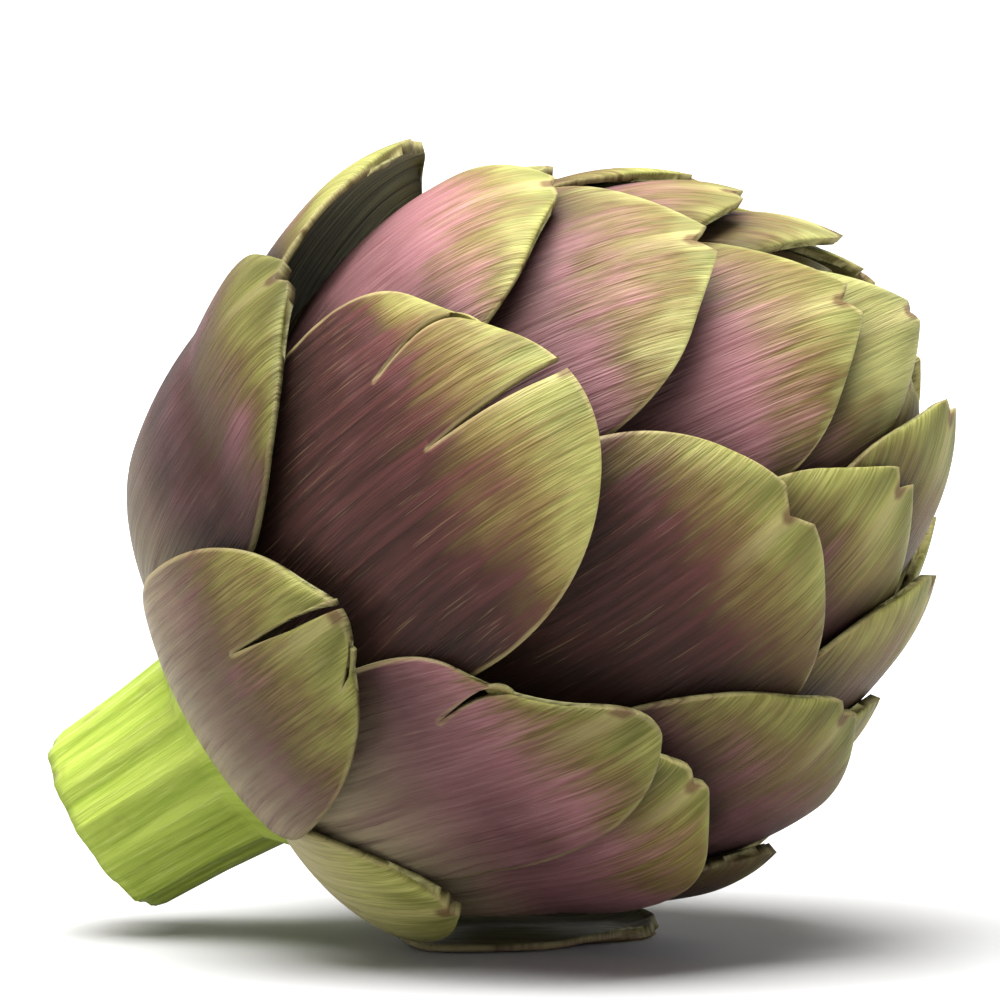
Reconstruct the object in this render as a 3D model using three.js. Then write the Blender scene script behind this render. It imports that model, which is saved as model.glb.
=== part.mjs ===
// A globe artichoke as picked, lying on its side: a head of overlapping bracts on a short cut stalk.
// The head's axis leans up from the floor towards +X. Millimetres and degrees, +Z up, floor at z = 0.
import * as THREE from 'three';

// Head as a whole
const headRadius = 46.7;
const headShift = 2.8; // how much fuller the head is on the stalk's side, and leaner on the other
const apexRise = 9.2; // how far the pointed end stands out beyond a ball
const apexSpread = 28; // angle from the axis over which that point fades
const baseDrop = 8; // how much the head draws in where it meets the stalk
const baseStart = 130; // angles from the apex over which it draws in
const baseEnd = 162;
const lean = 32; // angle of the head's axis above the floor
const centreHeight = 45.1;
const bellyPress = 0.45; // how far the round belly is pressed flat by its own weight

// Stalk and the heart that it swells into
const stalkEndRadius = 11.7;
const stalkNeckRadius = 13.1;
const stalkEnd = -61; // places along the axis, from the head's centre
const stalkNeck = -43.3;
const heartRadius = 22.5;
const heartTop = -17;
const stalkRibs = 12;
const stalkRibHeight = 0.3;
const stalkSides = 48;

// Blades of the bracts
const outerThickness = 1.6; // of the outermost bracts in their middle
const innerThickness = 1.05;
const edgeThickness = 0.75;
const layerGap = 0.6;
const outermostTip = 118;
const rootGap = 0.9;
const rootLimit = 158; // angles from the apex between which a blade's root may lie
const rootStart = 100;
const firstRoot = 150; // where a root is taken to be until its blade's depth is known
const rootDraw = 0.9; // how much higher on the heart each millimetre of depth brings the root
const widestReach = 34; // angle from the tip to a full-grown blade's widest place
const widestShare = 0.62; // the same as a share of the length, for a blade that is shorter
const tipBluntness = 1.2; // above 0 the tip is cut broad instead of running to a point
const rootShare = 0.55; // width of the root as a share of the widest place
const tipCrown = 3.5; // how far the rounded tip falls away towards its corners
const notchWidth = 0.3; // as a share of the half width
const flareReach = 34; // angle from the tip over which a flare fades
const curl = 1.8; // how far the tip curls in towards the head
const curlReach = 13; // angle from the tip over which it curls
const rowCount = 10;
const rowCrowding = 1.35; // above 1 the rows crowd towards the tip
const stepsAcross = 3; // columns on either side of the notch or of a single tear
const stepsAtTears = 2; // columns of each lobe where two tears make three of them
const probeRows = 16;
const probeColumns = 10;

// How much room the layers take up, from the stalk to the apex
const layerRoom = 30.2;
const layerStart = 112; // angle from the apex where the second layer comes to the surface
const layerPower = 1.1; // above 1 most of the room is near the apex

const degrees = THREE.MathUtils.degToRad(1);
const axis = new THREE.Vector3(Math.cos(lean * degrees), 0, Math.sin(lean * degrees));
const topward = new THREE.Vector3(-Math.sin(lean * degrees), 0, Math.cos(lean * degrees));
const nearward = new THREE.Vector3(0, -1, 0);
const centre = new THREE.Vector3(0, 0, centreHeight);

// Bracts, outermost first: each lies under those before it. Angles in degrees: tip is measured from the
// apex to the blade's tip, turn goes round the axis (0 on top, 90 on the near side, 180 underneath),
// width is the blade's widest half angle and sway moves its tip sideways. lie is the least depth of its
// layer below the head's outside and flare how far the tip bends out. crown, peak and blunt shape the tip.
// A tear runs from its mouth to its end, both as a share of the half width, over an angle of reach,
// and gapes at the mouth by an angle of gape.
const bracts = [
  {
    name: 'stalk_side', tip: 103, turn: 87, width: 20.5, flare: 1, notch: 0, lie: -1.2,
    tears: [
      { mouth: -0.15, end: -0.2, reach: 18, gape: 2.4 },
      { mouth: 0.7, end: 0.65, reach: 5, gape: 1.6 },
    ],
  },
  { name: 'under_stalk', tip: 117.5, turn: 131, width: 14, flare: 2.5, notch: 1, sway: 5 },
  { name: 'far_under_stalk', tip: 116, turn: 318, width: 20, flare: 1, notch: 1 },
  { name: 'belly', tip: 104, turn: 189, width: 24, flare: 0, notch: 1.5 },
  { name: 'far_stalk_side', tip: 100, turn: 268, width: 26, flare: 1, notch: 2 },
  { name: 'left_side', tip: 90.5, turn: 36, width: 32, flare: 0, notch: 2.5 },
  { name: 'far_belly', tip: 93, turn: 232, width: 30, flare: 0.5, notch: 2 },
  { name: 'top_flared', tip: 74, turn: 356, width: 34, flare: 1.4, notch: 1.5, lie: 3 },
  {
    name: 'low_split', tip: 77, turn: 114, width: 19.5, flare: 1, notch: 0,
    sway: 3, blunt: 2.5, peak: 0.6, crown: 6,
    tears: [{ mouth: -0.85, end: -0.46, reach: 23.5, gape: 2.4 }],
  },
  {
    name: 'far_low_split', tip: 79, turn: 296, width: 27, flare: 1, notch: 0,
    tears: [{ mouth: 0.1, end: 0.05, reach: 18, gape: 2 }],
  },
  { name: 'low_narrow', tip: 77, turn: 139, width: 27, flare: 1, notch: 1.5, sway: -5 },
  { name: 'low_back', tip: 80, turn: 174, width: 21, flare: 0, notch: 1.5 },
  { name: 'far_top', tip: 82, turn: 325, width: 28, flare: 1, notch: 2 },
  { name: 'far_low_back', tip: 74, turn: 207, width: 28, flare: 0, notch: 2 },
  {
    name: 'middle_split', tip: 62.5, turn: 75, width: 28.5, flare: 1, notch: 0,
    blunt: 4.5, peak: 0.3, crown: 5.5,
    tears: [
      { mouth: -0.78, end: -0.45, reach: 22, gape: 1.2 },
      { mouth: -0.05, end: 0, reach: 20, gape: 2 },
    ],
  },
  { name: 'far_middle', tip: 62, turn: 256, width: 32, flare: 1, notch: 2.5 },
  { name: 'upper_left', tip: 52.5, turn: 31.5, width: 31.5, flare: 0.5, notch: 1, lie: 10.8 },
  { name: 'right_low', tip: 56, turn: 151, width: 30, flare: 0.5, notch: 2 },
  { name: 'far_upper', tip: 57, turn: 328, width: 31, flare: 0.5, notch: 2 },
  { name: 'far_upper_left', tip: 55, turn: 222, width: 30, flare: 0.5, notch: 2 },
  { name: 'upper_back', tip: 54, turn: 3, width: 30, flare: 0.5, notch: 1.5 },
  { name: 'right_low_back', tip: 53, turn: 181, width: 30, flare: 0.5, notch: 2 },
  { name: 'far_middle_right', tip: 43, turn: 290, width: 30, flare: 1, notch: 3 },
  { name: 'middle_right', tip: 43, turn: 113, width: 30, flare: 0.5, notch: 2.5, blunt: 2.5, crown: 2 },
  { name: 'far_upper_middle', tip: 37, turn: 242, width: 29, flare: 0.5, notch: 2.5 },
  { name: 'upper_middle', tip: 34.5, turn: 52, width: 29, flare: 0.5, notch: 3 },
  { name: 'far_back', tip: 36, turn: 344, width: 28, flare: 0.5, notch: 2 },
  { name: 'right_back', tip: 33.5, turn: 176, width: 28, flare: 0.5, notch: 2 },
  { name: 'far_crest', tip: 28, turn: 209, width: 27, flare: 0.5, notch: 2 },
  { name: 'upper_crest', tip: 26.5, turn: 17, width: 28, flare: 0, notch: 2 },
  { name: 'far_crown', tip: 25, turn: 311, width: 26, flare: 0.5, notch: 2.5 },
  { name: 'right_middle', tip: 25, turn: 138, width: 26, flare: 0.5, notch: 2.5 },
  { name: 'crown_front', tip: 16.5, turn: 74, width: 26, flare: 0.5, notch: 2.5 },
  { name: 'far_crown_front', tip: 16, turn: 262, width: 25, flare: 0.5, notch: 2 },
  { name: 'crown_right', tip: 12.5, turn: 158, width: 22, flare: 0.5, notch: 2 },
  { name: 'crown_top', tip: 13, turn: 5, width: 24, flare: 0, notch: 2 },
  { name: 'far_crown_inner', tip: 10, turn: 320, width: 21, flare: 0, notch: 2 },
  { name: 'crown_inner', tip: 5, turn: 88, width: 19, flare: 0, notch: 1.5 },
];

// The bud in the middle: a core with small bracts raised from its surface around the apex
const budCoreBelow = 1.2; // how far the core's surface lies under its small bracts
const budSides = 44;
const budRings = 14;
const budCrowding = 1.4; // above 1 the rings crowd towards the apex
const budReach = 128; // angle from the apex down to which the core goes
const budLeafCount = 8;
const budLeafTip = 11; // angle from the apex of the first small bract's tip, the others closer
const budLeafStep = 1.3;
const budLeafWidth = 16;
const budLeafMargin = 2; // how much room a small bract has around it under the others
const budLeafRoot = 60; // angle from the apex at which a small bract has sunk into the core
const budBottom = 15.5;
const goldenTurn = 137.5;

const bractColor = 0x7a5560;
const budColor = 0x8f8a4a;
const stalkColor = 0x9db33c;

function smoothStep(value, from, to) {
  return THREE.MathUtils.smoothstep(value, from, to);
}

// Distance from the head's centre to its outside, in a given direction
function envelope(direction) {
  const polar = direction.angleTo(axis) / degrees;
  const apex = apexRise * Math.exp(-((polar / apexSpread) ** 2));
  const ball = headRadius - headShift * direction.dot(axis);
  const round = ball + apex - baseDrop * smoothStep(polar, baseStart, baseEnd);
  const floorReach = direction.z < 0 ? (centreHeight + bellyPress) / -direction.z : Infinity;
  return Math.min(round, floorReach);
}

// Room that the layers above need below the outside, larger towards the apex
function layerRise(direction) {
  const polar = direction.angleTo(axis) / degrees;
  return layerRoom * Math.max(0, 1 - polar / layerStart) ** layerPower;
}

// Direction of a place on a blade, by its angle from the apex along the midline and its angle aside
function bladeDirection(bract, along, aside) {
  const turn = bract.turn * degrees;
  const outward = topward.clone().multiplyScalar(Math.cos(turn)).addScaledVector(nearward, Math.sin(turn));
  const across = topward.clone().multiplyScalar(-Math.sin(turn)).addScaledVector(nearward, Math.cos(turn));
  const middle = axis.clone().multiplyScalar(Math.cos(along * degrees));
  middle.addScaledVector(outward, Math.sin(along * degrees));
  return middle.multiplyScalar(Math.cos(aside * degrees)).addScaledVector(across, Math.sin(aside * degrees));
}

// The way back: where a direction falls on a blade, or null if it misses it
function placeOnBlade(bract, direction) {
  const turn = bract.turn * degrees;
  const outward = topward.clone().multiplyScalar(Math.cos(turn)).addScaledVector(nearward, Math.sin(turn));
  const across = topward.clone().multiplyScalar(-Math.sin(turn)).addScaledVector(nearward, Math.cos(turn));
  const aside = Math.asin(THREE.MathUtils.clamp(direction.dot(across), -1, 1)) / degrees;
  const along = Math.atan2(direction.dot(outward), direction.dot(axis)) / degrees;
  const down = along - bract.tip;
  if (down < 0 || along > bract.root) {
    return null;
  }
  const side = (aside - swayAt(bract, down)) / halfWidthAt(bract, down);
  return Math.abs(side) <= 1 ? { down, side } : null;
}

function bladeLength(bract) {
  return bract.root - bract.tip;
}

function thicknessOf(bract) {
  return innerThickness + (outerThickness - innerThickness) * (bract.tip / outermostTip);
}

// Half width of a blade, as an angle, at an angle down from its tip
function halfWidthAt(bract, down) {
  const widest = Math.min(widestReach, widestShare * bladeLength(bract));
  const fromWidest = 1 - Math.min(1, (down + (bract.blunt ?? tipBluntness)) / widest);
  const upper = bract.width * Math.sqrt(1 - fromWidest ** 2);
  const narrowing = smoothStep(down, widest, bladeLength(bract));
  return upper * (1 - (1 - rootShare) * narrowing);
}

function swayAt(bract, down) {
  return (bract.sway ?? 0) * (1 - Math.min(1, down / bladeLength(bract))) ** 2;
}

// How far a blade bends out of its layer towards the tip: it flares, then the very tip curls in
function bendAt(bract, down, side) {
  const flare = bract.flare * Math.max(0, 1 - down / flareReach) ** 2 * (1 - 0.5 * side ** 2);
  return flare - curl * Math.max(0, 1 - down / curlReach) ** 2;
}

// How much thinner a blade is here than in its middle
function thinningAt(bract, side) {
  return (thicknessOf(bract) - edgeThickness) * Math.min(1, Math.abs(side)) ** 2;
}

// Fall of the rounded tip and its notch, as an angle, along the upper edge
function tipFall(bract, side) {
  const crown = (bract.crown ?? tipCrown) * (side - (bract.peak ?? 0)) ** 2;
  const notch = bract.notch * Math.max(0, 1 - Math.abs(side) / notchWidth);
  return crown + notch;
}

// The heart's and stalk's outline as radius by place along the axis
const heartProfile = [
  [stalkEnd, 0],
  [stalkEnd, stalkEndRadius],
  [-51, 12.3],
  [stalkNeck, stalkNeckRadius],
  [-41, 15.5],
  [-38, 18.5],
  [-34, 21],
  [-30, heartRadius],
  [-26, heartRadius],
  [-22, 20.5],
  [-19.5, 17],
  [-18, 12],
  [heartTop, 6],
  [heartTop, 0],
];

function heartRadiusAt(place) {
  for (let i = 1; i < heartProfile.length; i += 1) {
    const [fromPlace, fromRadius] = heartProfile[i - 1];
    const [toPlace, toRadius] = heartProfile[i];
    if (place >= fromPlace && place < toPlace) {
      return fromRadius + ((toRadius - fromRadius) * (place - fromPlace)) / (toPlace - fromPlace);
    }
  }
  return 0;
}

// How far a point outside the heart, given by its place along the axis and its radius, is from it
function distanceToHeart(place, radius) {
  if (radius < heartRadiusAt(place)) {
    return 0;
  }
  const point = new THREE.Vector3(place, radius, 0);
  const nearest = new THREE.Vector3();
  return Math.min(...heartProfile.slice(1).map((corner, i) => {
    const side = new THREE.Line3(new THREE.Vector3(...heartProfile[i], 0), new THREE.Vector3(...corner, 0));
    return side.closestPointToPoint(point, true, nearest).distanceTo(point);
  }));
}

// Angle from the apex at which a blade ends just clear of the heart, at its middle and both corners
function rootAngle(bract) {
  for (let along = rootLimit - rootDraw * bract.depth; along > rootStart; along -= 0.5) {
    const clear = [-1, 0, 1].every((side) => {
      const direction = bladeDirection(bract, along, side * rootShare * bract.width);
      const inner = direction.clone().multiplyScalar(layerRadius(bract.depth, direction) - thicknessOf(bract));
      const place = inner.dot(axis);
      return distanceToHeart(place, Math.sqrt(inner.lengthSq() - place ** 2)) > rootGap;
    });
    if (clear) {
      return along;
    }
  }
  return rootStart;
}

function layerRadius(depth, direction) {
  return envelope(direction) + layerRise(direction) - depth;
}

// Sinks a blade as far below the blades outside it as it must go to lie under them with a gap
function layDown(bract, outer) {
  bract.root = firstRoot;
  bract.depth = bract.lie ?? 0;
  for (let row = 0; row <= probeRows; row += 1) {
    const down = bladeLength(bract) * (row / probeRows);
    for (let column = -probeColumns; column <= probeColumns; column += 1) {
      const side = column / probeColumns;
      const aside = swayAt(bract, down) + side * halfWidthAt(bract, down);
      const direction = bladeDirection(bract, bract.tip + down, aside);
      for (const cover of outer) {
        const place = placeOnBlade(cover, direction);
        if (place) {
          const room = cover.depth + thicknessOf(cover) + layerGap - bendAt(cover, place.down, place.side);
          const rise = bendAt(bract, down, side) - thinningAt(bract, side);
          bract.depth = Math.max(bract.depth, room + rise);
        }
      }
    }
  }
  bract.root = rootAngle(bract);
}

// Rows of a blade from tip to root, crowded towards the tip, with one at the end of each tear
function rowPlaces(bract) {
  const rows = [];
  for (let row = 0; row <= rowCount; row += 1) {
    rows.push(bladeLength(bract) * (row / rowCount) ** rowCrowding);
  }
  for (const tear of bract.tears ?? []) {
    const nearest = rows.reduce((best, down, i) => (
      Math.abs(down - tear.reach) < Math.abs(rows[best] - tear.reach) ? i : best), 1);
    rows[nearest] = tear.reach;
  }
  return rows;
}

// Lines that run down a blade: both edges, the notch or the tears, and even lines between them
function lineSides(bract, down) {
  const anchors = [{ side: -1 }];
  const tears = bract.tears ?? [];
  for (const tear of tears) {
    const share = Math.min(1, down / tear.reach);
    const side = tear.mouth + (tear.end - tear.mouth) * share;
    anchors.push({ side, gape: (tear.gape / 2) * (1 - share), open: down < tear.reach });
  }
  if (tears.length === 0) {
    anchors.push({ side: 0 });
  }
  anchors.push({ side: 1 });
  const steps = anchors.length > 3 ? stepsAtTears : stepsAcross;
  const lines = [];
  for (let i = 0; i + 1 < anchors.length; i += 1) {
    for (let step = 0; step < steps; step += 1) {
      const share = step / steps;
      const side = anchors[i].side + (anchors[i + 1].side - anchors[i].side) * share;
      lines.push(step === 0 ? anchors[i] : { side });
    }
  }
  lines.push(anchors[anchors.length - 1]);
  return lines;
}

// A point on a blade's outer face and the one below it on the inner face
function bladePoints(bract, down, side, gape) {
  const halfWidth = halfWidthAt(bract, down);
  const fall = tipFall(bract, side) * Math.max(0, 1 - down / widestReach) ** 2;
  const aside = swayAt(bract, down) + side * halfWidth + gape;
  const direction = bladeDirection(bract, bract.tip + down + fall, aside);
  const layer = layerRadius(bract.depth, direction) + bendAt(bract, down, side);
  const outer = centre.clone().addScaledVector(direction, layer - thinningAt(bract, side));
  const inner = centre.clone().addScaledVector(direction, layer - thicknessOf(bract));
  outer.z = Math.max(0, outer.z);
  return { outer, inner };
}

// A closed blade: outer face, inner face with the same triangles, and walls along every free edge
function bladeGeometry(bract) {
  const outerPoints = [];
  const innerPoints = [];
  const grid = rowPlaces(bract).map((down) => lineSides(bract, down).map((line) => {
    const sides = line.open ? [-line.gape, line.gape] : [0];
    const ids = sides.map((gape) => {
      const { outer, inner } = bladePoints(bract, down, line.side, gape);
      outerPoints.push(outer);
      innerPoints.push(inner);
      return outerPoints.length - 1;
    });
    return { left: ids[0], right: ids[ids.length - 1] };
  }));
  const triangles = [];
  for (let row = 0; row + 1 < grid.length; row += 1) {
    for (let line = 0; line + 1 < grid[row].length; line += 1) {
      const upperLeft = grid[row][line].right;
      const upperRight = grid[row][line + 1].left;
      const lowerLeft = grid[row + 1][line].right;
      const lowerRight = grid[row + 1][line + 1].left;
      if (line < grid[row].length / 2 - 1) {
        triangles.push([upperLeft, lowerLeft, lowerRight], [upperLeft, lowerRight, upperRight]);
      } else {
        triangles.push([upperLeft, lowerLeft, upperRight], [lowerLeft, lowerRight, upperRight]);
      }
    }
  }
  return closedShell(outerPoints, innerPoints, triangles);
}

function closedShell(outerPoints, innerPoints, triangles) {
  const count = outerPoints.length;
  const edges = new Set(triangles.flatMap(([a, b, c]) => [`${a},${b}`, `${b},${c}`, `${c},${a}`]));
  const index = [];
  for (const edge of edges) {
    const [from, to] = edge.split(',').map(Number);
    if (!edges.has(`${to},${from}`)) {
      index.push(to, from, count + from, to, count + from, count + to);
    }
  }
  for (const [a, b, c] of triangles) {
    index.push(a, b, c, count + c, count + b, count + a);
  }
  const geometry = new THREE.BufferGeometry();
  geometry.setFromPoints([...outerPoints, ...innerPoints]);
  geometry.setIndex(index);
  return geometry;
}

// The stalk and heart: one solid of revolution with soft ribs along the stalk
function stalkGeometry() {
  const points = [];
  const index = [];
  const rings = heartProfile.slice(1, -1);
  for (const [place, radius] of rings) {
    for (let i = 0; i < stalkSides; i += 1) {
      const turn = (i / stalkSides) * 2 * Math.PI;
      const ribFade = 1 - smoothStep(place, stalkNeck, stalkNeck + 8);
      const rib = stalkRibHeight * Math.cos(turn * stalkRibs) * ribFade;
      points.push(axisPoint(place, radius + rib, turn));
    }
  }
  const firstCap = points.push(axisPoint(stalkEnd, 0, 0)) - 1;
  const lastCap = points.push(axisPoint(heartTop, 0, 0)) - 1;
  const lastRing = (rings.length - 1) * stalkSides;
  for (let i = 0; i < stalkSides; i += 1) {
    const next = (i + 1) % stalkSides;
    index.push(firstCap, next, i, lastCap, lastRing + i, lastRing + next);
    for (let ring = 0; ring + 1 < rings.length; ring += 1) {
      const lower = ring * stalkSides;
      const upper = lower + stalkSides;
      index.push(lower + i, upper + next, upper + i, lower + i, lower + next, upper + next);
    }
  }
  const geometry = new THREE.BufferGeometry();
  geometry.setFromPoints(points);
  geometry.setIndex(index);
  return geometry;
}

function axisPoint(place, radius, turn) {
  const point = centre.clone().addScaledVector(axis, place);
  point.addScaledVector(topward, radius * Math.cos(turn));
  return point.addScaledVector(nearward, radius * Math.sin(turn));
}

// The bud's small bracts, laid under the large ones and under one another
function budLeaves(outer) {
  const leaves = [];
  for (let i = 0; i < budLeafCount; i += 1) {
    const leaf = { tip: budLeafTip - budLeafStep * i, turn: (i * goldenTurn) % 360, flare: 0, notch: 0 };
    const roomy = { ...leaf, tip: leaf.tip - budLeafMargin, width: budLeafWidth + budLeafMargin };
    layDown(roomy, [...outer, ...leaves]);
    leaves.push({ ...leaf, width: budLeafWidth, root: budLeafRoot, depth: roomy.depth });
  }
  return leaves;
}

// Distance from the head's centre to the bud's surface: its core, or the small bract that is highest
function budRadius(direction, leaves, coreDepth) {
  const heights = leaves.map((leaf) => {
    const place = placeOnBlade(leaf, direction);
    if (!place) {
      return 0;
    }
    const height = coreDepth - leaf.depth + bendAt(leaf, place.down, place.side) - thinningAt(leaf, place.side);
    return height * (1 - smoothStep(place.down, bladeLength(leaf) / 2, bladeLength(leaf)));
  });
  return layerRadius(coreDepth, direction) + Math.max(0, ...heights);
}

// The bud: rings from the apex down over the core, closed underneath
function budGeometry(outer) {
  const leaves = budLeaves(outer);
  const coreDepth = Math.max(...leaves.map((leaf) => leaf.depth)) + budCoreBelow;
  const points = [centre.clone().addScaledVector(axis, budRadius(axis, leaves, coreDepth))];
  for (let ring = 1; ring <= budRings; ring += 1) {
    const along = budReach * (ring / budRings) ** budCrowding;
    for (let i = 0; i < budSides; i += 1) {
      const direction = bladeDirection({ turn: (i / budSides) * 360 }, along, 0);
      points.push(centre.clone().addScaledVector(direction, budRadius(direction, leaves, coreDepth)));
    }
  }
  const bottom = points.push(centre.clone().addScaledVector(axis, -budBottom)) - 1;
  const index = [];
  for (let i = 0; i < budSides; i += 1) {
    const next = (i + 1) % budSides;
    index.push(0, 1 + i, 1 + next);
    for (let ring = 0; ring + 1 < budRings; ring += 1) {
      const upper = 1 + ring * budSides;
      const lower = upper + budSides;
      index.push(upper + i, lower + i, lower + next, upper + i, lower + next, upper + next);
    }
    const last = 1 + (budRings - 1) * budSides;
    index.push(last + i, bottom, last + next);
  }
  const geometry = new THREE.BufferGeometry();
  geometry.setFromPoints(points);
  geometry.setIndex(index);
  return geometry;
}

function namedMesh(name, geometry, color) {
  const mesh = new THREE.Mesh(geometry, new THREE.MeshStandardMaterial({ color, roughness: 0.6, metalness: 0 }));
  mesh.name = name;
  return mesh;
}

const artichoke = new THREE.Group();
bracts.forEach((bract, i) => layDown(bract, bracts.slice(0, i)));
for (const bract of bracts) {
  artichoke.add(namedMesh(`bract_${bract.name}`, bladeGeometry(bract), bractColor));
}
artichoke.add(namedMesh('bud', budGeometry(bracts), budColor));
artichoke.add(namedMesh('stalk', stalkGeometry(), stalkColor));

// The part stands with the middle of its outline over the origin
const box = new THREE.Box3().setFromObject(artichoke);
artichoke.position.set(-(box.min.x + box.max.x) / 2, -(box.min.y + box.max.y) / 2, 0);

export default artichoke;
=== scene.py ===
"""A purple-green globe artichoke lying on its side, seen in soft studio light.

Angles are in degrees and lengths in millimetres in the tables below; the meshes are in metres.
The head's axis leans up towards +X. tip is a bract's angle from the apex, turn its angle round the
axis (0 on top, 90 on the near side, 180 underneath).
"""
import math

import bpy
import numpy as np
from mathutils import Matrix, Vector


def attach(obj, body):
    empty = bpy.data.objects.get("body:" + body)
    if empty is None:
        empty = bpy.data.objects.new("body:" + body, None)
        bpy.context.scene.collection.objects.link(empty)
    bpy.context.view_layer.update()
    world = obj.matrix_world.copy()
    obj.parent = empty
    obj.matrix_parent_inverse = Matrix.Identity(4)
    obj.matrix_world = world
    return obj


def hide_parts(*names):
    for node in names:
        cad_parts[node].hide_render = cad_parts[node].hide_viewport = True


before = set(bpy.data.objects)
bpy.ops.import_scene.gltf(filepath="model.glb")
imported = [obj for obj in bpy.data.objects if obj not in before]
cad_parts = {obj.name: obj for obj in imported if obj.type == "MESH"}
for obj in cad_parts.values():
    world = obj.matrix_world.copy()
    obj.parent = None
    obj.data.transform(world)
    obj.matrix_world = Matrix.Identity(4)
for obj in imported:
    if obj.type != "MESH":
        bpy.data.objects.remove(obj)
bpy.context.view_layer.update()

# Head as a whole
HEAD_RADIUS = 46.7
HEAD_SHIFT = 2.8
APEX_RISE = 9.2
APEX_SPREAD = 28.0
BASE_DROP = 8.0
BASE_ANGLES = (130.0, 162.0)
LEAN = 32.0
CENTRE_HEIGHT = 45.1
BELLY_PRESS = 0.45
HEAD_PLACE = (3.855, 1.296)

# Stalk and the heart that it swells into, as place along the axis and radius
STALK_END = -61.0
STALK_NECK = -43.3
HEART_PROFILE = (
    (-61.0, 0.0), (-61.0, 11.7), (-51.0, 12.3), (-43.3, 13.1), (-41.0, 15.5), (-38.0, 18.5), (-34.0, 21.0),
    (-30.0, 22.5), (-26.0, 22.5), (-22.0, 20.5), (-19.5, 17.0), (-18.0, 12.0), (-17.0, 6.0), (-17.0, 0.0),
)

# Blades of the bracts
OUTER_THICKNESS = 1.6
INNER_THICKNESS = 1.05
EDGE_THICKNESS = 0.75
LAYER_GAP = 0.6
OUTERMOST_TIP = 118.0
ROOT_GAP = 0.9
ROOT_LIMIT = 158.0
ROOT_START = 100.0
FIRST_ROOT = 150.0
ROOT_DRAW = 0.9
WIDEST_REACH = 34.0
WIDEST_SHARE = 0.62
TIP_BLUNTNESS = 1.2
ROOT_SHARE = 0.55
TIP_CROWN = 3.5
NOTCH_WIDTH = 0.3
FLARE_REACH = 34.0
CURL = 1.8
CURL_REACH = 13.0
PROBE_ROWS = 16
PROBE_COLUMNS = 10
LAYER_ROOM = 30.2
LAYER_START = 112.0
LAYER_POWER = 1.1

# Finer divisions than the solids have
FINE_ROWS = 56
FINE_COLUMNS = 40
ROW_CROWDING = 1.35

AXIS = np.array([math.cos(math.radians(LEAN)), 0.0, math.sin(math.radians(LEAN))])
TOPWARD = np.array([-math.sin(math.radians(LEAN)), 0.0, math.cos(math.radians(LEAN))])
NEARWARD = np.array([0.0, -1.0, 0.0])
CENTRE = np.array([HEAD_PLACE[0], HEAD_PLACE[1], CENTRE_HEIGHT])
HEAD_MIDDLE = Vector(CENTRE.tolist()) / 1000.0

# Camera, at the photograph's viewing angle, and the light
CAMERA_AZIMUTH = 12.0
CAMERA_ELEVATION = 3.0
CAMERA_DISTANCE = 0.6
CAMERA_LENS = 184.6
CAMERA_SHIFT = (-0.029, 0.057)
FLOOR_RADIUS = 0.7
BACKDROP_RADIUS = 2.4
BACKDROP_HEIGHT = 1.4
WORLD_STRENGTH = 0.08
LAMPS = (
    ("key", (-0.1, -0.1, 0.85), (0.8, 0.8), 30.0),
    ("back", (0.3, 0.7, 0.5), (0.4, 0.4), 1.5),
)

# Colours of leaf and stalk
WINE_DARK = (0.045, 0.015, 0.011, 1.0)
WINE = (0.12, 0.037, 0.033, 1.0)
MAUVE = (0.26, 0.09, 0.1, 1.0)
PINK = (0.44, 0.21, 0.225, 1.0)
OLIVE_BROWN = (0.11, 0.072, 0.018, 1.0)
OLIVE_PALE = (0.23, 0.17, 0.055, 1.0)
GREEN = (0.15, 0.155, 0.018, 1.0)
GREEN_LIGHT = (0.42, 0.41, 0.115, 1.0)
GREEN_DARK = (0.05, 0.055, 0.005, 1.0)
# Pale green that the upper leaves' green is mixed towards as a painted highlight
PAINTED_HIGHLIGHT_GREEN = (0.72, 0.7, 0.33, 1.0)
CREAM = (0.5, 0.42, 0.25, 1.0)
FLECK = (0.3, 0.22, 0.11, 1.0)
STRAW = (0.4, 0.33, 0.15, 1.0)
DRY_BROWN = (0.12, 0.06, 0.025, 1.0)
INNER_PALE = (0.4, 0.38, 0.17, 1.0)
INNER_OLIVE = (0.1, 0.09, 0.03, 1.0)
STALK_GREEN = (0.22, 0.3, 0.033, 1.0)
STALK_LIGHT = (0.35, 0.43, 0.07, 1.0)
STALK_PALE = (0.5, 0.55, 0.15, 1.0)
CUT_PALE = (0.62, 0.62, 0.36, 1.0)
CUT_TAN = (0.4, 0.33, 0.16, 1.0)
# Near-black that painted shade and the darker leaf tones mix towards
SHADE = (0.01, 0.006, 0.004, 1.0)
WHITE = (1.0, 1.0, 1.0, 1.0)
FLOOR_GREY = (0.46, 0.46, 0.46, 1.0)
FLOOR_WHITE = (0.9, 0.9, 0.9, 1.0)

# Angle over which the painted shade fades where a leaf goes in under another one
TUCK_SHADE_REACH = 6.5
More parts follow.
